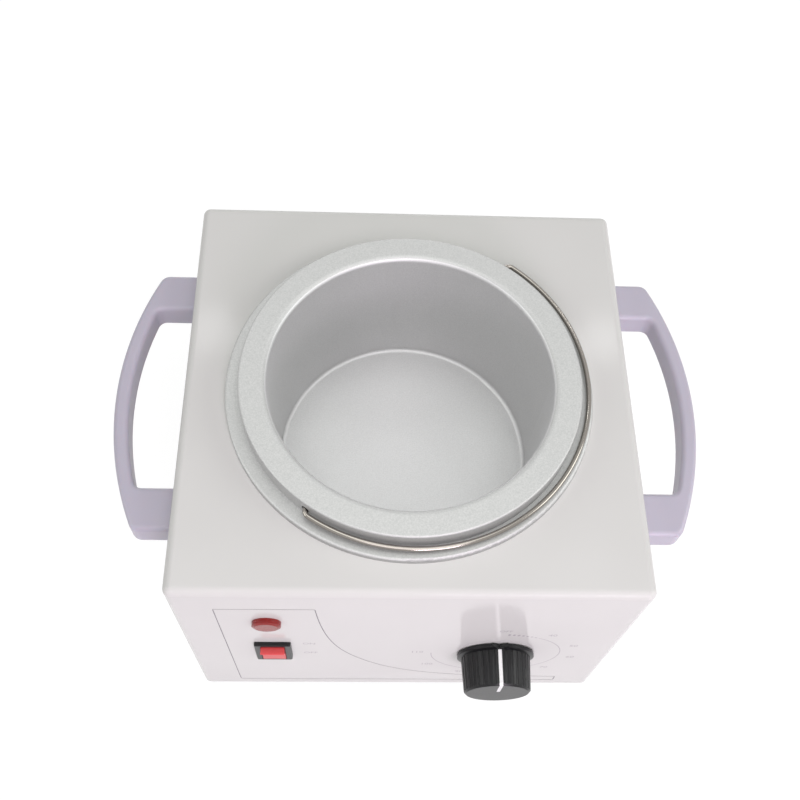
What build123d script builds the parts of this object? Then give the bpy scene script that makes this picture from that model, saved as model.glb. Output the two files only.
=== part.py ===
from build123d import *
import math
import os

# Wax warmer with one lift-out pot. Millimetres, +Z up, the front faces -Y.
# Pieces are drawn about the middle of the housing, with Z measured up from the table.

# Housing
HOUSING_W = 180.0
HOUSING_D = 177.0
HOUSING_H = 128.0
SHEET = 1.0
EDGE_R = 3.2
LIP_W = 10.0
LIP_END_GAP = 2.0
LIP_SCREW_X = 45.0

# Base plate and feet
BASE_T = 1.0
BASE_GAP = 0.5
BASE_CORNER_R = 4.0
FOOT_H = 10.0
FOOT_R = 10.0
FOOT_TAPER = 1.2
FOOT_POCKET = 5.0
FOOT_LOW_ROUND = 1.0
FOOT_HIGH_ROUND = 0.6
FOOT_INSET = 24.0
SLOT_L = 22.0
SLOT_W = 4.0
SLOT_PITCH_X = 30.0
SLOT_PITCH_Y = 9.0
SLOT_COLUMNS = 3
SLOT_ROWS = 4
BACK_SLOT_L = 16.0
BACK_SLOT_W = 2.6
BACK_SLOT_PITCH = 7.0
BACK_SLOT_COUNT = 9
BACK_SLOT_X = 22.0
BACK_SLOT_Z = 74.0

# Side grips
GRIP_REACH = 29.4
GRIP_BOW_R = 141.0
GRIP_SPAN = 119.0
GRIP_T = 6.0
GRIP_H = 12.0
GRIP_DROP = 12.0
ARM_W = 18.0
GRIP_CORNER_R = 4.5
GRIP_INNER_R = 3.5
GRIP_EDGE_R = 2.0
INSERT_R = 3.2
INSERT_L = 10.0
INSERT_GROOVE_W = 1.6
INSERT_GROOVE_D = 0.5

# Well with its collar
WELL_Y = -3.0
COLLAR_R = 73.3
COLLAR_T = 2.7
COLLAR_EDGE_R = 1.0
WELL_R = 59.0
WELL_T = 1.5
WELL_DEPTH = 59.6
WELL_FLOOR_R = 6.0
WELL_MOUTH_R = 1.5
PANEL_HOLE_GAP = 1.5

# Pot
POT_LIP_R = 67.5
POT_MOUTH_R = 56.5
POT_FLOOR_R = 54.8
POT_T = 1.4
POT_RIM_H = 8.5
POT_FLOOR_GAP = 0.6
POT_MOUTH_ROUND = 2.4
POT_FLOOR_ROUND = 3.2
POT_EDGE_ROUND = 0.8

# Wire bail
BAIL_WIRE_R = 1.0
BAIL_R = 70.6
BAIL_SLACK = 1.4
BAIL_TURN = 54.3
BAIL_BEND_R = 2.4
BAIL_HOLE_R = 1.7
BAIL_HINGE_H = 3.3
BAIL_REST_GAP = 0.3
BAIL_TAIL = 2.7

# Heater band and blanket
BAND_T = 3.0
BAND_H = 36.0
BAND_DROP = 14.0
EAR_T = 1.5
EAR_GAP = 4.5
EAR_H = 14.0
EAR_REACH = 9.5
BAND_BOLT = (2.0, 3.2, 2.6)
FERRULE_TURN = 16.0
FERRULE_W = 8.0
FERRULE_H = 10.0
FERRULE_REACH = 5.5
BLANKET_GAP = 0.3
BLANKET_T = 5.0
BLANKET_TOP = 4.0
BLANKET_BOTTOM = 57.0
BLANKET_OPENING = 64.0

# Tie stud under the well
TIE_R = 2.5
TIE_WELD_R = 4.5
TIE_WELD_T = 1.5
TIE_NUT_AF = 8.0
TIE_NUT_H = 4.0
TIE_WASHER_R = 6.0
TIE_WASHER_T = 1.0

# Sensor bulb, fuse and their clips
BULB_R = 3.0
BULB_L = 60.0
BULB_X = 14.0
BULB_Y = 16.0
BULB_EDGE = 0.6
CAPILLARY_R = 0.9
CAPILLARY_IN = 5.0
CAPILLARY_UP = 4.0
FUSE_R = 2.0
FUSE_L = 11.0
FUSE_X = -30.0
FUSE_Y = 20.0
FUSE_EDGE = 0.4
CLIP_T = 0.8
CLIP_W = 10.0
CLIP_FIT = 0.1
CLIP_FOOT = 7.0
CLIP_STUD_R = 1.5
CLIP_STUD_L = 5.0
CLIP_NUT_AF = 5.5
CLIP_NUT_H = 2.4

# Dial knob
KNOB_X = 39.6
KNOB_DROP = 76.0
KNOB_SKIRT_R = 16.3
KNOB_LIFT = 0.5
KNOB_SKIRT_T = 1.9
KNOB_BODY_R = 14.7
KNOB_TOP_R = 14.0
KNOB_H = 17.0
KNOB_EDGE = 0.9
KNOB_FLUTES = 36
KNOB_FLUTE_R = 0.55
KNOB_FLUTE_OUT = 0.2
KNOB_SKIRT_EDGE = 0.5
KNOB_RIB_TURN = 45.0
KNOB_WALL = 2.4
KNOB_CROWN = 3.0
KNOB_HUB_R = 5.5
KNOB_HUB_START = 7.5
KNOB_RIBS = 4
KNOB_RIB_T = 1.2
NOTCH_W = 6.0
NOTCH_DEPTH = 1.3
EAR_TIP_H = 0.6
EAR_TIP_W = 1.5
POINTER_W = 1.5
POINTER_DEPTH = 0.8
POINTER_INNER = 3.0
SHAFT_R = 3.0
SHAFT_FLAT = 1.5
SHAFT_END_GAP = 1.0
SHAFT_FIT = 0.05
SHAFT_IN_CASE = 8.0
SHAFT_SHOULDER = 0.5

# Thermostat
BUSHING_R = 4.8
BUSHING_L = 6.0
BUSHING_NUT_AF = 14.0
BUSHING_NUT_H = 3.0
FRAME_W = 48.0
FRAME_T = 1.2
FRAME_CORNER_R = 2.0
CASE_W = 44.0
CASE_H = 28.0
CASE_D = 23.0
CASE_EDGE_R = 1.5
CASE_BLADE_X = 10.0
CASE_BLADE_DROP = 7.0

# Rocker switch
SWITCH_X = -54.2
SWITCH_DROP = 71.3
BEZEL_W = 15.0
BEZEL_H = 21.0
BEZEL_T = 1.8
BEZEL_CORNER_R = 0.8
BEZEL_EDGE = 0.4
SWITCH_BODY_W = 12.8
SWITCH_BODY_H = 18.9
SWITCH_BODY_D = 15.0
SWITCH_OPENING_W = 10.3
SWITCH_OPENING_H = 17.8
SWITCH_POCKET = 7.0
SWITCH_TOOTH = 0.5
TOOTH_L = 5.0
TOOTH_W = 4.0
SWITCH_BLADE_Y = 4.7
ROCKER_W = 9.8
ROCKER_L = 16.0
ROCKER_END_H = 3.3
ROCKER_MID_H = 2.0
ROCKER_FOOT = 4.5
ROCKER_FOOT_L = 6.0
ROCKER_PIVOT = 1.5
ROCKER_PIN_R = 1.0
ROCKER_PIN_L = 0.75
PIN_END_GAP = 0.1
ROCKER_SIDE_DROP = 1.0
ROCKER_END_SLOPE = 0.4
ROCKER_TILT = 9.0
ROCKER_EDGE_R = 0.4

# Lamp
LAMP_X = -54.6
LAMP_DROP = 33.3
LAMP_HEAD_R = 5.7
LAMP_HEAD_T = 2.4
LAMP_FLAT_R = 4.6
LAMP_RIM_H = 1.8
LAMP_ROUND = 0.8
LAMP_FACE_T = 1.4
LAMP_TUBE_R = 4.9
LAMP_TUBE_L = 15.0
LAMP_WALL = 1.0
NEON_R = 2.6
NEON_L = 11.0
NEON_TIP_R = 2.0
NEON_DISC_T = 1.6
LAMP_RING_TEETH = 6
LAMP_RING_CUT_W = 0.8
LAMP_RING_CUT_R = 7.0
LAMP_RING_R = 8.5
LAMP_RING_T = 0.6
LAMP_LEAD_X = 2.2

# Blades, push-on sleeves and leads
BLADE_W = 6.3
BLADE_T = 0.8
BLADE_L = 8.0
SLEEVE_W = 8.4
SLEEVE_T = 4.2
SLEEVE_L = 15.0
SLEEVE_OFF = 0.2
SLEEVE_EDGE_R = 1.2
SLEEVE_FIT = 0.2
LEAD_R = 1.2
LEAD_FILL = 0.45

# How far the leads run straight out of what they end in
POLE_RUN = 18.0
SLEEVE_RUN = 22.0
FUSE_RUN = 12.0
LAMP_RUN = 12.0
FERRULE_RUN = 23.0
LUG_RUN = 11.0
CAPILLARY_RUN = 24.0

# Where the leads and the capillary pass between their ends
SWITCH_LEAD_STOPS = [(-50.0, 8.0, 26.0), (-54.2, -10.0, 38.0)]
LINK_LEAD_STOPS = [(-34.0, -30.0, 52.0), (5.0, -20.0, 44.0)]
HEATER_LEAD_STOPS = [(38.0, 34.0, 46.0), (49.6, 6.0, 46.0)]
FUSE_LEAD_STOPS = [(-30.0, 46.5, 66.9)]
BLOCK_LEAD_STOPS = [(-24.0, -8.0, 50.0), (-22.0, 8.0, 28.0)]
LAMP_NEUTRAL_STOPS = [(-72.0, -55.5, 78.7), (-70.0, -24.0, 40.0), (-62.0, 6.0, 16.0)]
LAMP_LINK_STOPS = [(-54.2, -65.8, 89.5)]
CAPILLARY_STOPS = [(54.0, 14.0, 71.9), (59.0, -8.0, 64.9)]

# Cord gland at the back
GLAND_X = -50.0
GLAND_Z = 34.0
GLAND_R = 8.0
GLAND_BORE_R = 4.0
GLAND_FLANGE_R = 11.0
GLAND_FLANGE_T = 3.0
GLAND_DOME_R = 8.5
GLAND_OUT = 9.0
GLAND_FLANGE_ROUND = 0.6
GLAND_NOSE_ROUND = 2.0
GLAND_IN = 12.0
GLAND_NUT_AF = 21.0
GLAND_NUT_H = 5.0

# Terminal block and earth
BLOCK_X = -30.0
BLOCK_TO_BACK = 30.5
BLOCK_W = 34.0
BLOCK_D = 18.0
BLOCK_H = 15.0
BLOCK_BODY_H = 10.0
BLOCK_SCREW_L = 7.5
POLE_PITCH = 10.0
POLE_HOLE_R = 1.5
POLE_HOLE_DEPTH = 5.0
POLE_SPLIT = 4.0
POLE_W = 8.0
POLE_D = 14.0
POLE_SCREW_GAP = 2.0
EARTH_X = 22.0
EARTH_TO_BLOCK = 34.0
LUG_R = 4.2
LUG_T = 0.8
LUG_BARREL_R = 1.8
LUG_BARREL_L = 6.0
LUG_NECK = 2.0

# Screws: shank radius, head radius, head height
M3 = (1.5, 2.8, 2.0)
M4 = (2.0, 4.0, 2.6)
SELF_TAP = (1.75, 3.4, 2.0)
SELF_TAP_TIP = 5.0
HEAD_ROUND = 0.6
CROSS_REACH = 0.65
CROSS_W = 0.9
CROSS_DEPTH = 0.45
NUT_AF = 7.0
NUT_H = 3.2
SCREW_FIT = 0.1
PASS_FIT = 0.3
NUT_FIT = 0.05
RUN_OUT = 1.0
CUT = 1.0

# Levels and faces worked out from the sizes above
TOP_Z = FOOT_H + HOUSING_H
FRONT_Y = -HOUSING_D / 2
BACK_Y = HOUSING_D / 2
SIDE_X = HOUSING_W / 2
BASE_TOP = FOOT_H + BASE_T
LIP_TOP = BASE_TOP + SHEET
COLLAR_TOP = TOP_Z + COLLAR_T
POT_TOP = COLLAR_TOP + POT_RIM_H
WELL_OUTER_R = WELL_R + WELL_T
WELL_FLOOR = TOP_Z - WELL_DEPTH
WELL_UNDER = WELL_FLOOR - WELL_T
BAND_TOP = TOP_Z - BAND_DROP
BAND_BOTTOM = BAND_TOP - BAND_H
BAND_R = WELL_OUTER_R + BAND_T
KNOB_Z = TOP_Z - KNOB_DROP
SWITCH_Z = TOP_Z - SWITCH_DROP
LAMP_Z = TOP_Z - LAMP_DROP
GRIP_Z = TOP_Z - GRIP_DROP - GRIP_H / 2
GRIP_SCREW_Y = (GRIP_SPAN - ARM_W) / 2
BAIL_Z = COLLAR_TOP + BAIL_HINGE_H
BAIL_SAG = math.degrees(math.asin((BAIL_HINGE_H - BAIL_WIRE_R - BAIL_REST_GAP) / BAIL_R))
BLOCK_Y = HOUSING_D / 2 - BLOCK_TO_BACK
EARTH_Y = BLOCK_Y - EARTH_TO_BLOCK
BLOCK_FRONT = BLOCK_Y - BLOCK_D / 2
POLE_Z = BASE_TOP + BLOCK_H / 2
CASE_BACK = FRONT_Y + SHEET + FRAME_T + CASE_D
SWITCH_BACK = FRONT_Y + SWITCH_BODY_D
LAMP_BACK = FRONT_Y + LAMP_TUBE_L

# The part's origin lies under the middle of its whole depth, from the knob's face to the gland's end
SHIFT_Y = (KNOB_H - GLAND_OUT) / 2


def group(*shapes):
    """Keep separate solids side by side in one compound."""
    return Compound([solid for shape in shapes for solid in shape.solids()])


def front_plane(x, z):
    """Work plane on the front wall's outer face: local y is up, local z points out."""
    return Plane(origin=(x, FRONT_Y, z), x_dir=(1, 0, 0), z_dir=(0, -1, 0))


def back_plane(x, z):
    """Work plane on the back wall's outer face: local y is up, local z points out."""
    return Plane(origin=(x, BACK_Y, z), x_dir=(-1, 0, 0), z_dir=(0, 1, 0))


def rod(radius, low, high):
    """Cylinder on the local Z axis from one level to another."""
    return Pos(0, 0, low) * Cylinder(radius, high - low, align=(Align.CENTER, Align.CENTER, Align.MIN))


def slab(width, depth, low, high):
    """Block centred on the local Z axis from one level to another."""
    return Pos(0, 0, low) * Box(width, depth, high - low, align=(Align.CENTER, Align.CENTER, Align.MIN))


def turned(points, rounds):
    """Turned solid about Z from a closed (radius, height) outline with rounded corners."""
    outline = make_face(Polyline(*points, close=True))
    for index, radius in rounds.items():
        corner = outline.vertices().sort_by_distance(Vector(*points[index]))[0]
        outline = fillet(corner, radius)
    return revolve(Plane.XZ * outline, axis=Axis.Z)


def hexagon(across_flats, hole_radius, low, high):
    """Hexagon nut on the local Z axis."""
    blank = extrude(RegularPolygon(across_flats / 2, 6, major_radius=False), high - low)
    return Pos(0, 0, low) * blank - rod(hole_radius, low - CUT, high + CUT)


def slot_rows(length, width, columns, rows, pitch, depth):
    """Rows of round-ended slots on the local XY plane, cut to a signed depth from a little above it."""
    places = GridLocations(SLOT_PITCH_X, pitch, columns, rows)
    slots = Sketch() + [place * SlotOverall(length, width) for place in places]
    return Pos(0, 0, CUT) * extrude(slots, depth - CUT)


def screw(size, length):
    """Pan-head screw pointing up +Z, with the underside of its head at the local origin."""
    shank_r, head_r, head_h = size
    head = turned([(0, -head_h), (head_r, -head_h), (head_r, 0), (0, 0)], {1: head_h * HEAD_ROUND})
    recess_top = -head_h * (1 - CROSS_DEPTH)
    recess_l = 2 * head_r * CROSS_REACH
    slot = slab(recess_l, CROSS_W, -head_h - CUT, recess_top)
    cross = slab(CROSS_W, recess_l, -head_h - CUT, recess_top)
    return head - slot - cross + rod(shank_r, 0, length)


def lead(points, radius):
    """Round wire along a route, with every bend as large as its two runs allow."""
    stops = [Vector(*point) for point in points]
    bends = []
    for before, here, after in zip(stops, stops[1:], stops[2:]):
        turn = (here - before).get_angle(after - here)
        run = min((here - before).length, (after - here).length)
        bends.append(LEAD_FILL * run / math.tan(math.radians(turn / 2)))
    path = FilletPolyline(*stops, radius=bends)
    return sweep(Plane(origin=path @ 0, z_dir=path % 0) * Circle(radius), path=path)


def housing_shell():
    """Folded sheet box, open below, with four return lips for the base plate."""
    outer = slab(HOUSING_W, HOUSING_D, FOOT_H, TOP_Z)
    outer = fillet(outer.edges().filter_by(Axis.Z) + outer.faces().sort_by(Axis.Z)[-1].edges(), EDGE_R)
    inner = slab(HOUSING_W - 2 * SHEET, HOUSING_D - 2 * SHEET, FOOT_H - CUT, TOP_Z - SHEET)
    inner_top = inner.faces().sort_by(Axis.Z)[-1]
    inner = fillet(inner.edges().filter_by(Axis.Z) + inner_top.edges(), EDGE_R - SHEET)
    lip_w = HOUSING_W - 2 * SHEET
    lip_d = HOUSING_D - 2 * SHEET
    lips = slab(lip_w, lip_d - 2 * LIP_W, BASE_TOP, LIP_TOP)
    lips += slab(lip_w - 2 * (LIP_W + LIP_END_GAP), lip_d, BASE_TOP, LIP_TOP)
    lips -= slab(lip_w - 2 * LIP_W, lip_d - 2 * LIP_W, BASE_TOP - CUT, LIP_TOP + CUT)
    shell = outer - inner + lips
    shell -= Pos(0, WELL_Y, 0) * rod(WELL_OUTER_R + PANEL_HOLE_GAP, TOP_Z - 2 * SHEET, TOP_Z + CUT)
    shell -= front_plane(KNOB_X, KNOB_Z) * rod(BUSHING_R + SCREW_FIT, -2 * SHEET, CUT)
    shell -= front_plane(SWITCH_X, SWITCH_Z) * slab(
        SWITCH_BODY_W + 2 * SCREW_FIT, SWITCH_BODY_H + 2 * SCREW_FIT, -2 * SHEET, CUT)
    shell -= front_plane(LAMP_X, LAMP_Z) * rod(LAMP_TUBE_R + SCREW_FIT, -2 * SHEET, CUT)
    shell -= back_plane(GLAND_X, GLAND_Z) * rod(GLAND_R + SCREW_FIT, -2 * SHEET, CUT)
    for column in (-BACK_SLOT_X, BACK_SLOT_X):
        slots = slot_rows(BACK_SLOT_L, BACK_SLOT_W, 1, BACK_SLOT_COUNT, BACK_SLOT_PITCH, -2 * SHEET)
        shell -= back_plane(column, BACK_SLOT_Z) * slots
    side_hole = Plane.YZ * rod(M4[0] + PASS_FIT, -SIDE_X - CUT, SIDE_X + CUT)
    for y in (-GRIP_SCREW_Y, GRIP_SCREW_Y):
        shell -= Pos(0, y, GRIP_Z) * side_hole
    for x, y in lip_screw_places():
        shell -= Pos(x, y, 0) * rod(SELF_TAP[0] + SCREW_FIT, BASE_TOP - CUT, LIP_TOP + CUT)
    return shell


def lip_screw_places():
    """Where the base screws stand: two on the front lip and two on the back lip."""
    y = HOUSING_D / 2 - SHEET - LIP_W / 2
    return [(x, side * y) for x in (-LIP_SCREW_X, LIP_SCREW_X) for side in (-1, 1)]


def foot_places():
    """Where the feet stand."""
    x = HOUSING_W / 2 - FOOT_INSET
    y = HOUSING_D / 2 - FOOT_INSET
    return [(sx * x, sy * y) for sx in (-1, 1) for sy in (-1, 1)]


def block_screw_places():
    """Where the terminal block is screwed down, between its poles."""
    return [(BLOCK_X - POLE_PITCH / 2, BLOCK_Y), (BLOCK_X + POLE_PITCH / 2, BLOCK_Y)]


def base_plate():
    """Flat closing plate with vent slots and all its screw holes."""
    width = HOUSING_W - 2 * SHEET - 2 * BASE_GAP
    depth = HOUSING_D - 2 * SHEET - 2 * BASE_GAP
    plate = Pos(0, 0, FOOT_H) * extrude(RectangleRounded(width, depth, BASE_CORNER_R), BASE_T)
    for x, y in foot_places():
        plate -= Pos(x, y, 0) * rod(M4[0] + PASS_FIT, FOOT_H - CUT, BASE_TOP + CUT)
    for x, y in lip_screw_places():
        plate -= Pos(x, y, 0) * rod(SELF_TAP[0] + PASS_FIT, FOOT_H - CUT, BASE_TOP + CUT)
    for x, y in block_screw_places():
        plate -= Pos(x, y, 0) * rod(M3[0] + SCREW_FIT, FOOT_H - CUT, BASE_TOP + CUT)
    plate -= Pos(EARTH_X, EARTH_Y, 0) * rod(M4[0] + PASS_FIT, FOOT_H - CUT, BASE_TOP + CUT)
    plate -= Pos(0, WELL_Y, 0) * rod(TIE_R + PASS_FIT, FOOT_H - CUT, BASE_TOP + CUT)
    plate -= Pos(0, -HOUSING_D / 4, BASE_TOP + CUT) * slot_rows(
        SLOT_L, SLOT_W, SLOT_COLUMNS, SLOT_ROWS, SLOT_PITCH_Y, -BASE_T - 2 * CUT)
    return plate


def base_screws():
    """Self-tapping screws from below into the lips."""
    length = BASE_T + SHEET + SELF_TAP_TIP
    return group(*[Pos(x, y, FOOT_H) * screw(SELF_TAP, length) for x, y in lip_screw_places()])


def rubber_feet():
    """Tapered rubber feet with a pocket for the screw head."""
    pocket_r = M4[1] + 2 * PASS_FIT
    pocket_top = FOOT_H - FOOT_POCKET
    hole_r = M4[0] + SCREW_FIT
    low_r = FOOT_R - FOOT_TAPER
    outline = [
        (hole_r, pocket_top), (pocket_r, pocket_top), (pocket_r, 0), (low_r, 0), (FOOT_R, FOOT_H),
        (hole_r, FOOT_H)]
    foot = turned(outline, {3: FOOT_LOW_ROUND, 4: FOOT_HIGH_ROUND})
    return group(*[Pos(x, y, 0) * foot for x, y in foot_places()])


def foot_screws():
    """Screws up through the feet and the base plate."""
    seat = FOOT_H - FOOT_POCKET
    length = BASE_TOP + NUT_H + RUN_OUT - seat
    return group(*[Pos(x, y, seat) * screw(M4, length) for x, y in foot_places()])


def foot_nuts():
    """Nuts on the inner face of the base plate."""
    nut = hexagon(NUT_AF, M4[0] + NUT_FIT, BASE_TOP, BASE_TOP + NUT_H)
    return group(*[Pos(x, y, 0) * nut for x, y in foot_places()])


def handle(side):
    """Moulded grip: two arms out of the side wall joined by a gently bowed bar."""
    bow_x = SIDE_X + GRIP_REACH - GRIP_BOW_R
    far = GRIP_REACH + CUT
    outer = Pos(bow_x, 0) * Circle(GRIP_BOW_R) & Pos(SIDE_X + far / 2, 0) * Rectangle(far, GRIP_SPAN)
    hole = Pos(bow_x, 0) * Circle(GRIP_BOW_R - GRIP_T)
    hole &= Pos(SIDE_X + far / 2 - CUT, 0) * Rectangle(far + CUT, GRIP_SPAN - 2 * ARM_W)
    bar = Pos(0, 0, GRIP_Z - GRIP_H / 2) * extrude(outer - hole, GRIP_H)
    uprights = bar.edges().filter_by(Axis.Z).filter_by(lambda edge: edge.center().X > SIDE_X + CUT)
    inner_uprights = uprights.filter_by(lambda edge: abs(edge.center().Y) < GRIP_SPAN / 2 - CUT)
    bar = fillet(inner_uprights, GRIP_INNER_R)
    uprights = bar.edges().filter_by(Axis.Z).filter_by(
        lambda edge: edge.center().X > SIDE_X + CUT and abs(edge.center().Y) > GRIP_SPAN / 2 - CUT / 2)
    bar = fillet(uprights, GRIP_CORNER_R)
    rims = bar.edges().filter_by(
        lambda edge: abs(abs(edge.center().Z - GRIP_Z) - GRIP_H / 2) < 0.01 and edge.center().X > SIDE_X + 0.1)
    bar = fillet(rims, GRIP_EDGE_R)
    pocket = Plane.YZ * rod(INSERT_R, SIDE_X - CUT, SIDE_X + INSERT_L)
    screw_room = Plane.YZ * rod(M4[0] + PASS_FIT, SIDE_X - CUT, SIDE_X + INSERT_L + RUN_OUT)
    for y in (-GRIP_SCREW_Y, GRIP_SCREW_Y):
        bar -= Pos(0, y, GRIP_Z) * pocket
        bar -= Pos(0, y, GRIP_Z) * screw_room
    return bar if side > 0 else mirror(bar, about=Plane.YZ)


def grip_screw_parts(piece):
    """Copy one piece, drawn on the +X side at the origin, to the four arms."""
    copies = []
    for y in (-GRIP_SCREW_Y, GRIP_SCREW_Y):
        right = Pos(0, y, GRIP_Z) * piece
        copies += [right, mirror(right, about=Plane.YZ)]
    return group(*copies)


def handle_inserts():
    """Threaded brass inserts in the ends of the arms, with a grip groove round the middle."""
    mid = SIDE_X + INSERT_L / 2
    sleeve = rod(INSERT_R, SIDE_X, SIDE_X + INSERT_L)
    sleeve -= rod(M4[0] + NUT_FIT, SIDE_X - CUT, SIDE_X + INSERT_L + CUT)
    low = mid - INSERT_GROOVE_W / 2
    high = mid + INSERT_GROOVE_W / 2
    sleeve -= rod(INSERT_R + CUT, low, high) - rod(INSERT_R - INSERT_GROOVE_D, low - CUT, high + CUT)
    return grip_screw_parts(Plane.YZ * sleeve)


def handle_screws():
    """Screws from inside the side walls into the inserts."""
    piece = Plane.YZ * (Pos(0, 0, SIDE_X - SHEET) * screw(M4, SHEET + INSERT_L - CUT))
    return grip_screw_parts(piece)


def heating_well():
    """Aluminium cup whose flange lies on the top panel, with welded studs under its floor."""
    outline = [
        (0, WELL_FLOOR), (WELL_R, WELL_FLOOR), (WELL_R, COLLAR_TOP), (COLLAR_R, COLLAR_TOP), (COLLAR_R, TOP_Z),
        (WELL_OUTER_R, TOP_Z), (WELL_OUTER_R, WELL_UNDER), (0, WELL_UNDER)]
    rounds = {1: WELL_FLOOR_R - WELL_T, 2: WELL_MOUTH_R, 3: COLLAR_EDGE_R, 6: WELL_FLOOR_R}
    well = turned(outline, rounds)
    for x, y in clip_stud_places():
        stud = Pos(x, y - WELL_Y, 0) * rod(CLIP_STUD_R, WELL_UNDER - CLIP_STUD_L, WELL_UNDER + WELL_T / 2)
        well += stud
    return Pos(0, WELL_Y, 0) * well


def clip_stud_places():
    """Where the studs for the two clips stand."""
    bulb_reach = BULB_R + CLIP_FIT + CLIP_T + CLIP_FOOT / 2
    fuse_reach = FUSE_R + CLIP_FIT + CLIP_T + CLIP_FOOT / 2
    return [(BULB_X, BULB_Y - bulb_reach), (BULB_X, BULB_Y + bulb_reach), (FUSE_X + fuse_reach, FUSE_Y)]


def clip_nuts():
    """Nuts that hold the two clips on their studs."""
    nut = hexagon(CLIP_NUT_AF, CLIP_STUD_R + NUT_FIT, WELL_UNDER - CLIP_T - CLIP_NUT_H, WELL_UNDER - CLIP_T)
    return group(*[Pos(x, y, 0) * nut for x, y in clip_stud_places()])


def clip_section(radius, feet):
    """Bent strip seen from its end: a U round a tube below the origin line, with flat feet."""
    inner = radius + CLIP_FIT
    outer = inner + CLIP_T
    drop = radius
    shape = Pos(0, -drop) * Circle(outer) + Pos(0, -drop / 2) * Rectangle(2 * outer, drop)
    foot_x = outer + (CLIP_FOOT - CLIP_T) / 2
    for side in feet:
        shape += Pos(side * foot_x, -CLIP_T / 2) * Rectangle(CLIP_FOOT + CLIP_T, CLIP_T)
    shape -= Pos(0, -drop) * Circle(inner) + Pos(0, -drop / 2 + CUT / 2) * Rectangle(2 * inner, drop + CUT)
    return shape


def bulb_clip():
    """Strip bent over the sensor bulb."""
    strip = extrude(Plane.YZ * clip_section(BULB_R, (-1, 1)), CLIP_W / 2, both=True)
    strip = Pos(BULB_X, BULB_Y, WELL_UNDER) * strip
    for x, y in clip_stud_places()[:2]:
        strip -= Pos(x, y, 0) * rod(CLIP_STUD_R + SCREW_FIT, WELL_UNDER - 2 * CLIP_T, WELL_UNDER + CUT)
    return strip


def fuse_clip():
    """Strip bent over the thermal fuse, with one foot."""
    strip = extrude(Plane.XZ * clip_section(FUSE_R, (1,)), CLIP_W / 2, both=True)
    strip = Pos(FUSE_X, FUSE_Y, WELL_UNDER) * strip
    for x, y in clip_stud_places()[2:]:
        strip -= Pos(x, y, 0) * rod(CLIP_STUD_R + SCREW_FIT, WELL_UNDER - 2 * CLIP_T, WELL_UNDER + CUT)
    return strip


def bulb_and_capillary():
    """Liquid-filled bulb under the floor and its fine tube to the thermostat."""
    z = WELL_UNDER - BULB_R
    start = BULB_X - BULB_L / 2
    bulb = Plane.YZ * rod(BULB_R, start, start + BULB_L)
    bulb = Pos(0, BULB_Y, z) * chamfer(bulb.edges().filter_by(GeomType.CIRCLE), BULB_EDGE)
    end = start + BULB_L
    exit_x = KNOB_X + CASE_W / 2 - CAPILLARY_IN
    exit_z = KNOB_Z + CAPILLARY_UP
    route = [
        (end - CUT, BULB_Y, z), *CAPILLARY_STOPS, (exit_x, CASE_BACK + CAPILLARY_RUN, exit_z),
        (exit_x, CASE_BACK, exit_z)]
    return bulb + lead(route, CAPILLARY_R)


def thermal_fuse():
    """Small metal fuse body under the floor."""
    body = Plane.XZ * rod(FUSE_R, -FUSE_L / 2, FUSE_L / 2)
    body = chamfer(body.edges().filter_by(GeomType.CIRCLE), FUSE_EDGE)
    return Pos(FUSE_X, FUSE_Y, WELL_UNDER - FUSE_R) * body


def heater_band():
    """Sheathed mica band round the cup, open at the back, with two ears and two lead ferrules."""
    band = rod(BAND_R, BAND_BOTTOM, BAND_TOP) - rod(WELL_OUTER_R, BAND_BOTTOM - CUT, BAND_TOP + CUT)
    band -= Pos(0, BAND_R, 0) * slab(EAR_GAP, 2 * BAND_T + 4 * CUT, BAND_BOTTOM - CUT, BAND_TOP + CUT)
    mid = (BAND_BOTTOM + BAND_TOP) / 2
    ear_y = BAND_R + (EAR_REACH - BAND_T) / 2
    for side in (-1, 1):
        x = side * (EAR_GAP + EAR_T) / 2
        band += Pos(x, ear_y, 0) * slab(EAR_T, EAR_REACH + BAND_T / 2, mid - EAR_H / 2, mid + EAR_H / 2)
        block = Pos(0, BAND_R + FERRULE_REACH / 2 - BAND_T / 4, 0) * slab(
            FERRULE_W, FERRULE_REACH + BAND_T / 2, BAND_BOTTOM, BAND_BOTTOM + FERRULE_H)
        band += Rot(0, 0, side * FERRULE_TURN) * block
    bolt_hole = Plane.YZ * rod(BAND_BOLT[0] + SCREW_FIT, -EAR_GAP, EAR_GAP)
    band -= Pos(0, BAND_R + EAR_REACH / 2, mid) * bolt_hole
    return Pos(0, WELL_Y, 0) * band


def band_bolt():
    """Bolt through the two ears."""
    half = EAR_GAP / 2 + EAR_T
    bolt = Plane.YZ * (Pos(0, 0, -half) * screw(BAND_BOLT, 2 * half + NUT_H + RUN_OUT))
    return Pos(0, WELL_Y + BAND_R + EAR_REACH / 2, (BAND_BOTTOM + BAND_TOP) / 2) * bolt


def band_nut():
    """Nut on the band bolt."""
    half = EAR_GAP / 2 + EAR_T
    nut = Plane.YZ * hexagon(NUT_AF, BAND_BOLT[0] + NUT_FIT, half, half + NUT_H)
    return Pos(0, WELL_Y + BAND_R + EAR_REACH / 2, (BAND_BOTTOM + BAND_TOP) / 2) * nut


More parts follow.
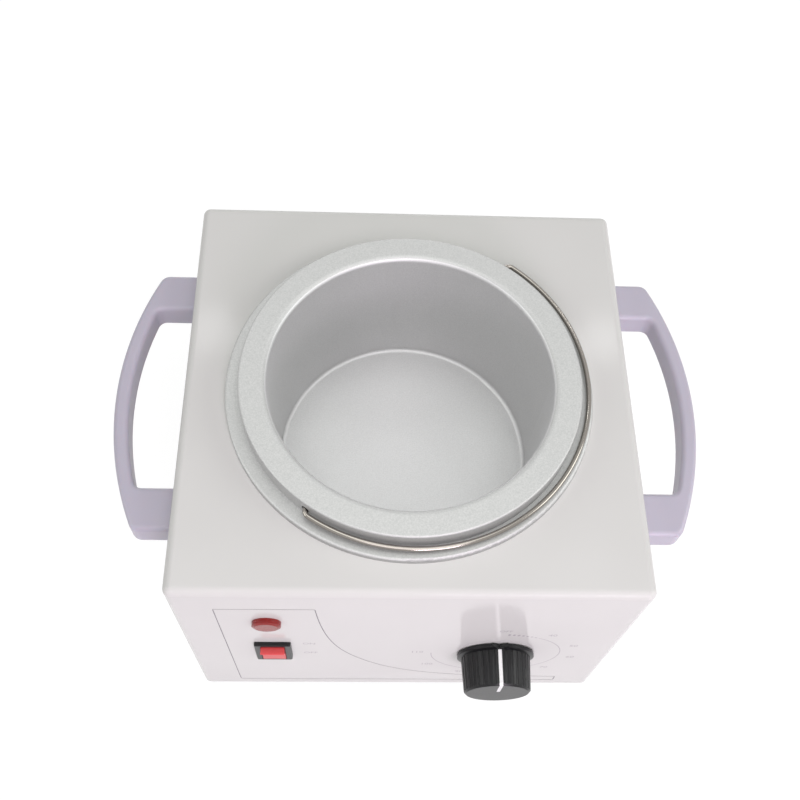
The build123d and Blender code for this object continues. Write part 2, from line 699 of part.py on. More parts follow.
def insulation_sleeve():
    """Glass-fibre blanket round the band, open at the back over the ears and ferrules."""
    inner = BAND_R + BLANKET_GAP
    low = TOP_Z - BLANKET_BOTTOM
    high = TOP_Z - BLANKET_TOP
    ring = rod(inner + BLANKET_T, low, high) - rod(inner, low - CUT, high + CUT)
    reach = 2 * (inner + BLANKET_T)
    half = math.radians(BLANKET_OPENING / 2)
    wedge_x = reach * math.sin(half)
    wedge_y = reach * math.cos(half)
    wedge = make_face(Polyline((0, 0), (wedge_x, wedge_y), (-wedge_x, wedge_y), close=True))
    ring -= Pos(0, 0, low - CUT) * extrude(wedge, high - low + 2 * CUT)
    return Pos(0, WELL_Y, 0) * ring


def tie_stud():
    """Long stud from the cup's floor down through the base plate."""
    low = FOOT_H - TIE_WASHER_T - TIE_NUT_H - RUN_OUT / 2
    stud = rod(TIE_R, low, WELL_UNDER) + rod(TIE_WELD_R, WELL_UNDER - TIE_WELD_T, WELL_UNDER)
    return Pos(0, WELL_Y, 0) * stud


def tie_washer():
    """Washer under the base plate."""
    ring = rod(TIE_WASHER_R, FOOT_H - TIE_WASHER_T, FOOT_H) - rod(TIE_R + SCREW_FIT, 0, FOOT_H + CUT)
    return Pos(0, WELL_Y, 0) * ring


def tie_nut():
    """Nut that pulls the well down."""
    high = FOOT_H - TIE_WASHER_T
    return Pos(0, WELL_Y, 0) * hexagon(TIE_NUT_AF, TIE_R + NUT_FIT, high - TIE_NUT_H, high)


def wax_pot():
    """Spun pot hung in the well by its turned-down rim, with two holes for the bail."""
    floor = WELL_FLOOR + POT_FLOOR_GAP
    drop = POT_TOP - POT_T
    outline = [
        (0, floor + POT_T), (POT_FLOOR_R, floor + POT_T), (POT_MOUTH_R, POT_TOP), (POT_LIP_R, POT_TOP),
        (POT_LIP_R, COLLAR_TOP), (POT_LIP_R - POT_T, COLLAR_TOP), (POT_LIP_R - POT_T, drop),
        (POT_MOUTH_R + POT_T, drop), (POT_FLOOR_R + POT_T, floor), (0, floor)]
    rounds = {
        1: POT_FLOOR_ROUND - POT_T, 2: POT_MOUTH_ROUND, 3: POT_EDGE_ROUND, 6: POT_EDGE_ROUND,
        7: POT_MOUTH_ROUND - POT_T, 8: POT_FLOOR_ROUND}
    pot = turned(outline, rounds)
    drill = Plane.YZ * rod(BAIL_HOLE_R, POT_LIP_R - 2 * POT_T, POT_LIP_R + CUT)
    for turn in (BAIL_TURN, BAIL_TURN + 180.0):
        pot -= Rot(0, 0, turn) * (Pos(0, 0, BAIL_Z) * drill)
    return Pos(0, WELL_Y, 0) * pot


def pot_bail():
    """One bent wire: a half hoop whose two ends turn in through the rim's holes."""
    inner_r = BAIL_R - BAIL_BEND_R
    bend_x = math.sqrt(inner_r ** 2 - BAIL_BEND_R ** 2)
    scale = BAIL_R / inner_r
    tail_x = POT_LIP_R - POT_T - BAIL_TAIL
    join = (bend_x * scale, BAIL_BEND_R * scale)
    half_turn = math.atan2(join[1], join[0])
    middle = (math.pi / 2 - half_turn) / 2 - math.pi / 4
    bend_mid = (
        bend_x + BAIL_BEND_R * math.cos(middle), BAIL_BEND_R + BAIL_BEND_R * math.sin(middle))
    hoop = ThreePointArc(join, (0, BAIL_R), (-join[0], join[1]))
    right = ThreePointArc((bend_x, 0), bend_mid, join)
    left = ThreePointArc((-join[0], join[1]), (-bend_mid[0], bend_mid[1]), (-bend_x, 0))
    right_tail = Line((tail_x - BAIL_SLACK, 0), (bend_x, 0))
    left_tail = Line((-bend_x, 0), (-tail_x - BAIL_SLACK, 0))
    path = right_tail + right + hoop + left + left_tail
    wire = sweep(Plane(origin=path @ 0, z_dir=path % 0) * Circle(BAIL_WIRE_R), path=path)
    wire = Pos(BAIL_SLACK, 0, 0) * wire
    wire = Rot(-180.0 + BAIL_SAG, 0, 0) * wire
    return Pos(0, WELL_Y, BAIL_Z) * (Rot(0, 0, BAIL_TURN) * wire)


def control_knob():
    """Fluted knob: thin skirt with a two-pointed notch, hollow body and a ribbed hub for the shaft."""
    skirt_top = KNOB_LIFT + KNOB_SKIRT_T
    taper = math.degrees(math.atan((KNOB_BODY_R - KNOB_TOP_R) / (KNOB_H - skirt_top)))
    section = Circle(KNOB_BODY_R)
    section -= PolarLocations(KNOB_BODY_R + KNOB_FLUTE_OUT, KNOB_FLUTES) * Circle(KNOB_FLUTE_R)
    body = Pos(0, 0, skirt_top) * extrude(section, KNOB_H - skirt_top, taper=taper)
    body &= knob_envelope()
    skirt = turned(
        [(0, KNOB_LIFT), (KNOB_SKIRT_R, KNOB_LIFT), (KNOB_SKIRT_R, skirt_top - KNOB_SKIRT_EDGE),
         (KNOB_BODY_R, skirt_top), (0, skirt_top)], {})
    tip_x = NOTCH_W / 2
    tip_y = KNOB_SKIRT_R + EAR_TIP_H
    foot_x = tip_x + EAR_TIP_W
    tips = make_face(Polyline(
        (-foot_x, KNOB_BODY_R), (-tip_x, tip_y), (tip_x, tip_y), (foot_x, KNOB_BODY_R), close=True))
    skirt += Pos(0, 0, KNOB_LIFT) * extrude(tips, KNOB_SKIRT_T - KNOB_SKIRT_EDGE)
    notch = make_face(Polyline((-tip_x, tip_y), (0, KNOB_SKIRT_R - NOTCH_DEPTH), (tip_x, tip_y), close=True))
    knob = body + skirt - Pos(0, 0, -CUT) * extrude(notch, skirt_top + 2 * CUT)
    cavity_r = KNOB_TOP_R - KNOB_WALL
    cavity = rod(cavity_r, KNOB_LIFT - CUT, KNOB_H - KNOB_CROWN)
    hub = rod(KNOB_HUB_R, KNOB_HUB_START, KNOB_H)
    for index in range(KNOB_RIBS):
        rib = slab(KNOB_RIB_T, 2 * cavity_r + CUT, KNOB_HUB_START, KNOB_H)
        hub += Rot(0, 0, KNOB_RIB_TURN + 180.0 * index / KNOB_RIBS) * rib
    knob -= cavity - hub
    knob -= shaft_profile(SHAFT_FIT, KNOB_HUB_START - CUT, KNOB_H - KNOB_CROWN + SHAFT_END_GAP)
    knob -= pointer_groove()
    return front_plane(KNOB_X, KNOB_Z) * knob


def knob_envelope():
    """The knob's body without its flutes: a slight cone with a bevelled face edge."""
    skirt_top = KNOB_LIFT + KNOB_SKIRT_T
    return turned(
        [(0, skirt_top), (KNOB_BODY_R, skirt_top), (KNOB_TOP_R, KNOB_H - KNOB_EDGE),
         (KNOB_TOP_R - KNOB_EDGE, KNOB_H), (0, KNOB_H)], {})


def pointer_groove():
    """L-shaped groove for the white line, up the knob's side and across its face."""
    skirt_top = KNOB_LIFT + KNOB_SKIRT_T
    side = Pos(0, KNOB_TOP_R - POINTER_DEPTH + KNOB_SKIRT_R / 2) * Rectangle(POINTER_W, KNOB_SKIRT_R)
    side = Pos(0, 0, skirt_top) * extrude(side, KNOB_H - skirt_top + CUT)
    face_l = KNOB_BODY_R + CUT - POINTER_INNER
    face = Pos(0, POINTER_INNER + face_l / 2) * Rectangle(POINTER_W, face_l)
    face = Pos(0, 0, KNOB_H - POINTER_DEPTH) * extrude(face, POINTER_DEPTH + CUT)
    return side + face


def knob_pointer():
    """White line set flush into the groove."""
    return front_plane(KNOB_X, KNOB_Z) * (pointer_groove() & knob_envelope())


def shaft_profile(fit, low, high):
    """D-shaped rod on the local Z axis, its flat facing down."""
    flat = Pos(0, -SHAFT_R - fit - SHAFT_R + SHAFT_FLAT, 0)
    return rod(SHAFT_R + fit, low, high) - flat * slab(4 * SHAFT_R, 2 * SHAFT_R, low - CUT, high + CUT)


def shaft_inner():
    """Level of the shaft's inner end, inside the thermostat case."""
    return -SHEET - FRAME_T - SHAFT_IN_CASE


def thermostat_shaft():
    """Shaft from the thermostat out into the knob's hub, round in the bushing and D-shaped in the hub."""
    end = KNOB_H - KNOB_CROWN + SHAFT_END_GAP
    shaft = rod(SHAFT_R, shaft_inner(), BUSHING_L + SHAFT_SHOULDER)
    shaft += shaft_profile(0, BUSHING_L, end)
    return front_plane(KNOB_X, KNOB_Z) * shaft


def thermostat_frame():
    """Steel plate behind the front wall with the threaded bushing pressed into it."""
    plate = slab(FRAME_W, CASE_H, -SHEET - FRAME_T, -SHEET)
    plate = fillet(plate.edges().filter_by(Axis.Z), FRAME_CORNER_R)
    plate += rod(BUSHING_R, -SHEET - FRAME_T, BUSHING_L)
    plate -= rod(SHAFT_R + SHAFT_FIT, -SHEET - FRAME_T - CUT, BUSHING_L + CUT)
    return front_plane(KNOB_X, KNOB_Z) * plate


def bushing_nut():
    """Thin nut on the bushing, on the front wall's outer face."""
    return front_plane(KNOB_X, KNOB_Z) * hexagon(BUSHING_NUT_AF, BUSHING_R + NUT_FIT, 0, BUSHING_NUT_H)


def thermostat_case():
    """Moulded case behind the frame, with a blind hole for the shaft."""
    high = -SHEET - FRAME_T
    case = slab(CASE_W, CASE_H, high - CASE_D, high)
    case = fillet(case.edges().filter_by(Axis.Z) + case.faces().sort_by(Axis.Z)[0].edges(), CASE_EDGE_R)
    case -= rod(SHAFT_R + SHAFT_FIT, shaft_inner() - SHAFT_FIT, high + CUT)
    return front_plane(KNOB_X, KNOB_Z) * case


def blade(x, y, back):
    """Flat tab standing straight out of a control's back, towards the inside of the box."""
    return Pos(x, y, 0) * slab(BLADE_W, BLADE_T, -back - BLADE_L, -back)


def thermostat_terminals():
    """Two tabs at the back of the case."""
    back = CASE_BACK - FRONT_Y
    tabs = [blade(side * CASE_BLADE_X, -CASE_BLADE_DROP, back) for side in (-1, 1)]
    return group(*[front_plane(KNOB_X, KNOB_Z) * tab for tab in tabs])


def switch_body():
    """Switch moulding: bezel, body behind the wall, snap teeth and the pocket that the rocker tips in."""
    bezel = extrude(RectangleRounded(BEZEL_W, BEZEL_H, BEZEL_CORNER_R), BEZEL_T)
    bezel = chamfer(bezel.faces().sort_by(Axis.Z)[-1].edges(), BEZEL_EDGE)
    body = bezel + slab(SWITCH_BODY_W, SWITCH_BODY_H, -SWITCH_BODY_D, 0)
    wall_x = SWITCH_BODY_W / 2
    tooth = make_face(Polyline(
        (wall_x - SWITCH_TOOTH, -SHEET), (wall_x + SWITCH_TOOTH, -SHEET),
        (wall_x - SWITCH_TOOTH, -SHEET - TOOTH_L), close=True))
    tooth = extrude(Plane.XZ * tooth, TOOTH_W / 2, both=True)
    body = body + tooth + mirror(tooth, about=Plane.YZ)
    body -= slab(SWITCH_OPENING_W, SWITCH_OPENING_H, -SWITCH_POCKET, BEZEL_T + CUT)
    pin_reach = ROCKER_W / 2 + ROCKER_PIN_L + PIN_END_GAP
    body -= Pos(0, 0, -ROCKER_PIVOT) * (Plane.YZ * rod(ROCKER_PIN_R + NUT_FIT, -pin_reach, pin_reach))
    return front_plane(SWITCH_X, SWITCH_Z) * body


def switch_rocker():
    """Rocker with a shallow V face and two side pins, tipped to off: top out, bottom in."""
    half = ROCKER_L / 2
    shoulder = -ROCKER_PIVOT - ROCKER_SIDE_DROP
    outline = make_face(Polyline(
        (-half, ROCKER_END_H), (0, ROCKER_MID_H), (half, ROCKER_END_H), (half - ROCKER_END_SLOPE, shoulder),
        (ROCKER_FOOT_L / 2, -ROCKER_FOOT), (-ROCKER_FOOT_L / 2, -ROCKER_FOOT),
        (ROCKER_END_SLOPE - half, shoulder), close=True))
    rocker = extrude(Plane.YZ * outline, ROCKER_W / 2, both=True)
    rims = rocker.edges().filter_by(
        lambda edge: edge.center().Z > ROCKER_MID_H - ROCKER_EDGE_R and abs(edge.center().Y) > ROCKER_EDGE_R)
    rocker = fillet(rims, ROCKER_EDGE_R)
    pin_reach = ROCKER_W / 2 + ROCKER_PIN_L
    rocker += Pos(0, 0, -ROCKER_PIVOT) * (Plane.YZ * rod(ROCKER_PIN_R, -pin_reach, pin_reach))
    tipped = Pos(0, 0, -ROCKER_PIVOT) * (Rot(ROCKER_TILT, 0, 0) * (Pos(0, 0, ROCKER_PIVOT) * rocker))
    return front_plane(SWITCH_X, SWITCH_Z) * tipped


def switch_terminals():
    """Two tabs at the back of the switch."""
    tabs = [blade(0, side * SWITCH_BLADE_Y, SWITCH_BODY_D) for side in (-1, 1)]
    return group(*[front_plane(SWITCH_X, SWITCH_Z) * tab for tab in tabs])


def lamp_lens():
    """Red lens: low domed head outside and a tube through the wall, hollow for the neon bulb."""
    bore_end = LAMP_HEAD_T - LAMP_FACE_T
    outline = [
        (0, LAMP_HEAD_T), (LAMP_FLAT_R, LAMP_HEAD_T), (LAMP_HEAD_R, LAMP_RIM_H), (LAMP_HEAD_R, 0),
        (LAMP_TUBE_R, 0), (LAMP_TUBE_R, -LAMP_TUBE_L), (LAMP_TUBE_R - LAMP_WALL, -LAMP_TUBE_L),
        (LAMP_TUBE_R - LAMP_WALL, bore_end), (0, bore_end)]
    return front_plane(LAMP_X, LAMP_Z) * turned(outline, {1: LAMP_ROUND})


def neon_bulb():
    """Small glass bulb held in the lens tube by a disc that closes the tube's end."""
    back = -LAMP_TUBE_L
    disc_r = LAMP_TUBE_R - LAMP_WALL - NUT_FIT
    glass = turned([(0, back), (NEON_R, back), (NEON_R, back + NEON_L), (0, back + NEON_L)], {2: NEON_TIP_R})
    return front_plane(LAMP_X, LAMP_Z) * (glass + rod(disc_r, back, back + NEON_DISC_T))


def lamp_ring():
    """Push-on spring ring behind the wall, toothed inside."""
    ring = rod(LAMP_RING_R, -SHEET - LAMP_RING_T, -SHEET)
    ring -= rod(LAMP_TUBE_R + NUT_FIT, -SHEET - 2 * LAMP_RING_T, 0)
    gap = Pos(LAMP_RING_CUT_R / 2, 0, 0) * slab(LAMP_RING_CUT_R, LAMP_RING_CUT_W, -SHEET - 2 * LAMP_RING_T, 0)
    for index in range(LAMP_RING_TEETH):
        ring -= Rot(0, 0, 360.0 * index / LAMP_RING_TEETH) * gap
    return front_plane(LAMP_X, LAMP_Z) * ring


def cord_gland():
    """Threaded cord gland with an open bore: flange and domed nose outside, thread inside."""
    outline = [
        (GLAND_BORE_R, -GLAND_IN), (GLAND_R, -GLAND_IN), (GLAND_R, 0), (GLAND_FLANGE_R, 0),
        (GLAND_FLANGE_R, GLAND_FLANGE_T), (GLAND_DOME_R, GLAND_FLANGE_T), (GLAND_DOME_R, GLAND_OUT),
        (GLAND_BORE_R, GLAND_OUT)]
    return back_plane(GLAND_X, GLAND_Z) * turned(outline, {4: GLAND_FLANGE_ROUND, 6: GLAND_NOSE_ROUND})


def gland_nut():
    """Nut on the gland's thread, inside the back wall."""
    return back_plane(GLAND_X, GLAND_Z) * hexagon(GLAND_NUT_AF, GLAND_R + NUT_FIT, -SHEET - GLAND_NUT_H, -SHEET)


def pole_places():
    """X of the live, neutral and earth poles."""
    return [BLOCK_X - POLE_PITCH, BLOCK_X, BLOCK_X + POLE_PITCH]


def pole_holes():
    """Every wire hole in the block's front face: one each for live and earth, two for neutral."""
    live, neutral, earth = pole_places()
    return [live, neutral - POLE_SPLIT / 2, neutral + POLE_SPLIT / 2, earth]


def terminal_block():
    """Three-pole moulded block with its poles standing up from a low body."""
    low = slab(BLOCK_W, BLOCK_D, BASE_TOP, BASE_TOP + BLOCK_BODY_H)
    block = Pos(BLOCK_X, BLOCK_Y, 0) * low
    for x in pole_places():
        tower = slab(POLE_W, POLE_D, BASE_TOP, BASE_TOP + BLOCK_H)
        tower -= rod(M3[1] + SCREW_FIT, BASE_TOP + BLOCK_BODY_H, BASE_TOP + BLOCK_H + CUT)
        block += Pos(x, BLOCK_Y, 0) * tower
        block -= Pos(x, BLOCK_Y, 0) * rod(M3[0] + SCREW_FIT, POLE_Z + POLE_SCREW_GAP, BASE_TOP + BLOCK_H)
    for x in pole_holes():
        block -= Pos(x, BLOCK_FRONT, POLE_Z) * (Plane.XZ * rod(POLE_HOLE_R, -POLE_HOLE_DEPTH, CUT))
    for x, y in block_screw_places():
        block -= Pos(x, y, 0) * rod(M3[0] + SCREW_FIT, BASE_TOP - CUT, BASE_TOP + BLOCK_H)
    return block


def terminal_screws():
    """One clamp screw down each pole."""
    length = BASE_TOP + BLOCK_BODY_H - POLE_Z - POLE_SCREW_GAP
    piece = Rot(180, 0, 0) * screw(M3, length)
    return group(*[Pos(x, BLOCK_Y, BASE_TOP + BLOCK_BODY_H) * piece for x in pole_places()])


def block_screws():
    """Screws from below the base plate up into the block, between its poles."""
    length = BASE_T + BLOCK_SCREW_L
    return group(*[Pos(x, y, FOOT_H) * screw(M3, length) for x, y in block_screw_places()])


def earth_screw():
    """Screw up through the base plate for the earth lug."""
    length = BASE_T + LUG_T + NUT_H + RUN_OUT
    return Pos(EARTH_X, EARTH_Y, FOOT_H) * screw(M4, length)


def earth_lug():
    """Ring lug with a crimped barrel that takes the earth lead."""
    ring = rod(LUG_R, BASE_TOP, BASE_TOP + LUG_T)
    ring += Pos(-LUG_R - LUG_NECK / 2, 0, 0) * slab(LUG_R, 2 * LUG_BARREL_R, BASE_TOP, BASE_TOP + LUG_T)
    barrel = Plane.YZ * rod(LUG_BARREL_R, -LUG_BARREL_L, 0)
    ring += Pos(-LUG_R - LUG_NECK, 0, BASE_TOP + LUG_BARREL_R) * barrel
    ring -= rod(M4[0] + SCREW_FIT, BASE_TOP - CUT, BASE_TOP + 2 * LUG_T)
    return Pos(EARTH_X, EARTH_Y, 0) * ring


def earth_nut():
    """Nut on the lug."""
    low = BASE_TOP + LUG_T
    return Pos(EARTH_X, EARTH_Y, 0) * hexagon(NUT_AF, M4[0] + NUT_FIT, low, low + NUT_H)


def sleeve_places():
    """Centre line and back face of every push-on sleeve: (x, face of the control, z)."""
    switch = [(SWITCH_X, SWITCH_BACK, SWITCH_Z + side * SWITCH_BLADE_Y) for side in (-1, 1)]
    thermostat = [(KNOB_X + side * CASE_BLADE_X, CASE_BACK, KNOB_Z - CASE_BLADE_DROP) for side in (-1, 1)]
    return switch + thermostat


def sleeve_end(place):
    """Point where a lead leaves its sleeve."""
    x, face, z = place
    return (x, face + SLEEVE_OFF + SLEEVE_L, z)


def spade_sleeves():
    """Insulating sleeves pushed over the tabs."""
    sleeves = []
    for x, face, z in sleeve_places():
        near = face + SLEEVE_OFF
        body = Box(SLEEVE_W, SLEEVE_L, SLEEVE_T, align=(Align.CENTER, Align.MIN, Align.CENTER))
        body = fillet(body.edges().filter_by(Axis.Y), SLEEVE_EDGE_R)
        slot = Box(
            BLADE_W + SLEEVE_FIT, BLADE_L + CUT, BLADE_T + SLEEVE_FIT,
            align=(Align.CENTER, Align.MIN, Align.CENTER))
        sleeves.append(Pos(x, near, z) * (body - Pos(0, -CUT, 0) * slot))
    return group(*sleeves)


def pole_start(x):
    """Inner end of a wire hole in the block."""
    return (x, BLOCK_FRONT + POLE_HOLE_DEPTH, POLE_Z)


def ferrule_end(side):
    """Point where a lead leaves the band's ferrule."""
    reach = BAND_R + FERRULE_REACH / 2
    turn = math.radians(90.0 - side * FERRULE_TURN)
    return (reach * math.cos(turn), WELL_Y + reach * math.sin(turn), BAND_BOTTOM)


def leads_live():
    """Brown leads: block to switch, switch to thermostat, thermostat to heater."""
    low_blade, high_blade, left_blade, right_blade = [sleeve_end(place) for place in sleeve_places()]
    live = pole_places()[0]
    to_switch = [
        pole_start(live), (live, BLOCK_FRONT - POLE_RUN, POLE_Z), *SWITCH_LEAD_STOPS,
        (SWITCH_X, low_blade[1] + SLEEVE_RUN, low_blade[2]), low_blade]
    to_thermostat = [
        high_blade, (SWITCH_X, high_blade[1] + SLEEVE_RUN, high_blade[2]), *LINK_LEAD_STOPS,
        (left_blade[0], left_blade[1] + SLEEVE_RUN, left_blade[2]), left_blade]
    start = ferrule_end(1)
    to_heater = [
        start, (start[0], start[1], start[2] - FERRULE_RUN), *HEATER_LEAD_STOPS,
        (right_blade[0], right_blade[1] + SLEEVE_RUN, right_blade[2]), right_blade]
    return group(*[lead(route, LEAD_R) for route in (to_switch, to_thermostat, to_heater)])


def leads_neutral():
    """Blue leads: heater to fuse, fuse to block, lamp to block."""
    fuse_z = WELL_UNDER - FUSE_R
    start = ferrule_end(-1)
    to_fuse = [
        start, (start[0], start[1], start[2] - FERRULE_RUN), *FUSE_LEAD_STOPS,
        (FUSE_X, FUSE_Y + FUSE_L / 2 + FUSE_RUN, fuse_z), (FUSE_X, FUSE_Y + FUSE_L / 2, fuse_z)]
    left_hole = BLOCK_X - POLE_SPLIT / 2
    right_hole = BLOCK_X + POLE_SPLIT / 2
    to_block = [
        (FUSE_X, FUSE_Y - FUSE_L / 2, fuse_z), (FUSE_X, FUSE_Y - FUSE_L / 2 - FUSE_RUN, fuse_z),
        *BLOCK_LEAD_STOPS, (right_hole, BLOCK_FRONT - POLE_RUN, POLE_Z), pole_start(right_hole)]
    lamp = [
        (LAMP_X - LAMP_LEAD_X, LAMP_BACK, LAMP_Z), (LAMP_X - LAMP_LEAD_X, LAMP_BACK + LAMP_RUN, LAMP_Z),
        *LAMP_NEUTRAL_STOPS, (left_hole, BLOCK_FRONT - POLE_RUN, POLE_Z), pole_start(left_hole)]
    return group(*[lead(route, LEAD_R) for route in (to_fuse, to_block, lamp)])


def lamp_lead():
    """Short lead from the lamp to the upper switch sleeve."""
    x, y, z = sleeve_end(sleeve_places()[1])
    top = z + SLEEVE_T / 2
    route = [
        (LAMP_X + LAMP_LEAD_X, LAMP_BACK, LAMP_Z), (LAMP_X + LAMP_LEAD_X, LAMP_BACK + LAMP_RUN, LAMP_Z),
        *LAMP_LINK_STOPS, (x, y - SLEEVE_L / 2, top)]
    return lead(route, LEAD_R)


def lead_earth():
    """Green and yellow lead from the block to the lug."""
    earth = pole_places()[2]
    end = (EARTH_X - LUG_R - LUG_NECK - LUG_BARREL_L, EARTH_Y, BASE_TOP + LUG_BARREL_R)
    route = [
        pole_start(earth), (earth, EARTH_Y + LUG_RUN, POLE_Z), (earth + LUG_RUN, EARTH_Y, end[2]), end]
    return lead(route, LEAD_R)


PIECES = {
    "housing_shell": housing_shell, "base_plate": base_plate, "base_screws": base_screws,
    "rubber_feet": rubber_feet, "foot_screws": foot_screws, "foot_nuts": foot_nuts,
    "handle_left": lambda: handle(-1), "handle_right": lambda: handle(1),
    "handle_inserts": handle_inserts, "handle_screws": handle_screws,
    "heating_well": heating_well, "heater_band": heater_band, "band_bolt": band_bolt, "band_nut": band_nut,
    "insulation_sleeve": insulation_sleeve, "tie_stud": tie_stud, "tie_washer": tie_washer, "tie_nut": tie_nut,
    "bulb_and_capillary": bulb_and_capillary, "bulb_clip": bulb_clip, "thermal_fuse": thermal_fuse,
    "fuse_clip": fuse_clip, "clip_nuts": clip_nuts,
    "wax_pot": wax_pot, "pot_bail": pot_bail,
    "control_knob": control_knob, "knob_pointer": knob_pointer, "thermostat_shaft": thermostat_shaft,
    "thermostat_frame": thermostat_frame, "thermostat_case": thermostat_case,
    "thermostat_terminals": thermostat_terminals, "bushing_nut": bushing_nut,
    "switch_body": switch_body, "switch_rocker": switch_rocker, "switch_terminals": switch_terminals,
    "lamp_lens": lamp_lens, "neon_bulb": neon_bulb, "lamp_ring": lamp_ring,
    "cord_gland": cord_gland, "gland_nut": gland_nut,
    "terminal_block": terminal_block, "terminal_screws": terminal_screws, "block_screws": block_screws,
    "earth_screw": earth_screw, "earth_lug": earth_lug, "earth_nut": earth_nut,
    "spade_sleeves": spade_sleeves, "leads_live": leads_live, "leads_neutral": leads_neutral,
    "lamp_lead": lamp_lead, "lead_earth": lead_earth,
}

os.makedirs("parts", exist_ok=True)
for name, build in PIECES.items():
    export_step(Pos(0, SHIFT_Y, 0) * build(), f"parts/{name}.step")
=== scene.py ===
import bpy
import math
from mathutils import Matrix, Vector


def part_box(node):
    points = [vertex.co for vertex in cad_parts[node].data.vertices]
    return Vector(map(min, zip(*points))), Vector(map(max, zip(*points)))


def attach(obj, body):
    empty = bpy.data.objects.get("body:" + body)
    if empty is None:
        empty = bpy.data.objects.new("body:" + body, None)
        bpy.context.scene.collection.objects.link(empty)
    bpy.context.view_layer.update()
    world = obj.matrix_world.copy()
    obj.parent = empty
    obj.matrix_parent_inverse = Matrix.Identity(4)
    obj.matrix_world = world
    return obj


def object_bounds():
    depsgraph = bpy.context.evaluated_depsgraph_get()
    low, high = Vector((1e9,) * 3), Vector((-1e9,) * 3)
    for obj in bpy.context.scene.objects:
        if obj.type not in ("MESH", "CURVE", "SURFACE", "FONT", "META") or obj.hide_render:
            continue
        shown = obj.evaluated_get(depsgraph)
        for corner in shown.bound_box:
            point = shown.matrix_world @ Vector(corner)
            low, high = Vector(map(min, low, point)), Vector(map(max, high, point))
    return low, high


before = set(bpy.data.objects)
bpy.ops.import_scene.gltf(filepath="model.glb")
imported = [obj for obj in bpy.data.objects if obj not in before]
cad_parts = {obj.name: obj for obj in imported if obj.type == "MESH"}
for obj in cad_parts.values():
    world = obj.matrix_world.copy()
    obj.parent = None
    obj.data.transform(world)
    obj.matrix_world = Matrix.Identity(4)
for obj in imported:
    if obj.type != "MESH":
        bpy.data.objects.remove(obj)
cad_low, cad_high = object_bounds()

MM = 0.001
shell_low, shell_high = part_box("housing_shell")
FRONT = shell_low.y
TOP = shell_high.z
pot_low, pot_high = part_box("wax_pot")
POT_Y = (pot_low.y + pot_high.y) / 2
# the middle of the pot's slightly conical wall: its radius where the pot stands, and its growth with height
POT_SLOPE = 0.0247
POT_WALL_R = 55.5 * MM - POT_SLOPE * pot_low.z


# Small helpers

def linear(code):
    """A hex colour as it is seen, turned to the linear colour that a shader takes."""
    shares = [int(code[i:i + 2], 16) / 255 for i in (0, 2, 4)]
    return [s / 12.92 if s <= 0.04045 else ((s + 0.055) / 1.055) ** 2.4 for s in shares] + [1.0]


def per_metre(size_mm):
    """Texture scale at which one feature is this many millimetres wide."""
    return 1.0 / (size_mm * MM)


def add(tree, kind, inputs=None, **settings):
    """Add one node with its settings, its plain input values and its links from other nodes."""
    made = tree.nodes.new(kind)
    for name, value in settings.items():
        setattr(made, name, value)
    for name, value in (inputs or {}).items():
        if isinstance(value, bpy.types.NodeSocket):
            tree.links.new(value, made.inputs[name])
        else:
            made.inputs[name].default_value = value
    return made


def maths(tree, operation, *values):
    """One step of arithmetic on numbers and sockets."""
    return add(tree, "ShaderNodeMath", dict(enumerate(values)), operation=operation).outputs["Value"]


def noise(tree, place, size_mm, detail=2.0, roughness=0.5):
    """Uneven pattern from 0 to 1, with features this many millimetres wide."""
    made = add(tree, "ShaderNodeTexNoise", {
        "Vector": place, "Scale": per_metre(size_mm), "Detail": detail, "Roughness": roughness})
    return made.outputs["Fac"]


def spread(tree, share, low, high):
    """Stretch a pattern from 0 to 1 over another range."""
    return add(tree, "ShaderNodeMapRange", {
        "Value": share, "To Min": low, "To Max": high}).outputs["Result"]


def blend(tree, share, low, high, start=0.0, end=1.0):
    """Fade from one hex colour to another as a pattern goes from start to end."""
    ramp = add(tree, "ShaderNodeValToRGB", {"Fac": share})
    first, last = ramp.color_ramp.elements
    first.position, last.position = start, end
    first.color, last.color = linear(low), linear(high)
    return ramp.outputs["Color"]


def relief(tree, height, strength, depth_mm):
    """Fine relief from a pattern, this many millimetres deep."""
    return add(tree, "ShaderNodeBump", {
        "Height": height, "Strength": strength, "Distance": depth_mm * MM}).outputs["Normal"]


def started(name):
    """An empty material: the material, its node tree and the place on the object."""
    material = bpy.data.materials.new(name)
    material.use_nodes = True
    tree = material.node_tree
    tree.nodes.clear()
    return material, tree, add(tree, "ShaderNodeTexCoord").outputs["Object"]


def finished(material, inputs):
    """Close a material with one principled shader."""
    tree = material.node_tree
    shader = add(tree, "ShaderNodeBsdfPrincipled", inputs)
    add(tree, "ShaderNodeOutputMaterial", {"Surface": shader.outputs["BSDF"]})
    return material


def wear(material, *nodes):
    """Give CAD nodes this finish."""
    for name in nodes:
        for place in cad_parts[name].material_slots:
            place.material = material


# Finishes

# the enamel and the ink under its clear coat shine alike
ENAMEL_GLOSS = {"Roughness": 0.11, "IOR": 1.42, "Specular IOR Level": 0.15}


def stoved_enamel():
    """White stoving enamel on steel: glossy, with the faint orange peel of a sprayed coat."""
    material, tree, place = started("stoved_white_enamel")
    peel = noise(tree, place, 2.2, detail=1.0)
    cloud = noise(tree, place, 60.0)
    return finished(material, {
        "Base Color": blend(tree, cloud, "D2D1CF", "D9D8D6"), "Normal": relief(tree, peel, 0.25, 0.03),
        **ENAMEL_GLOSS})


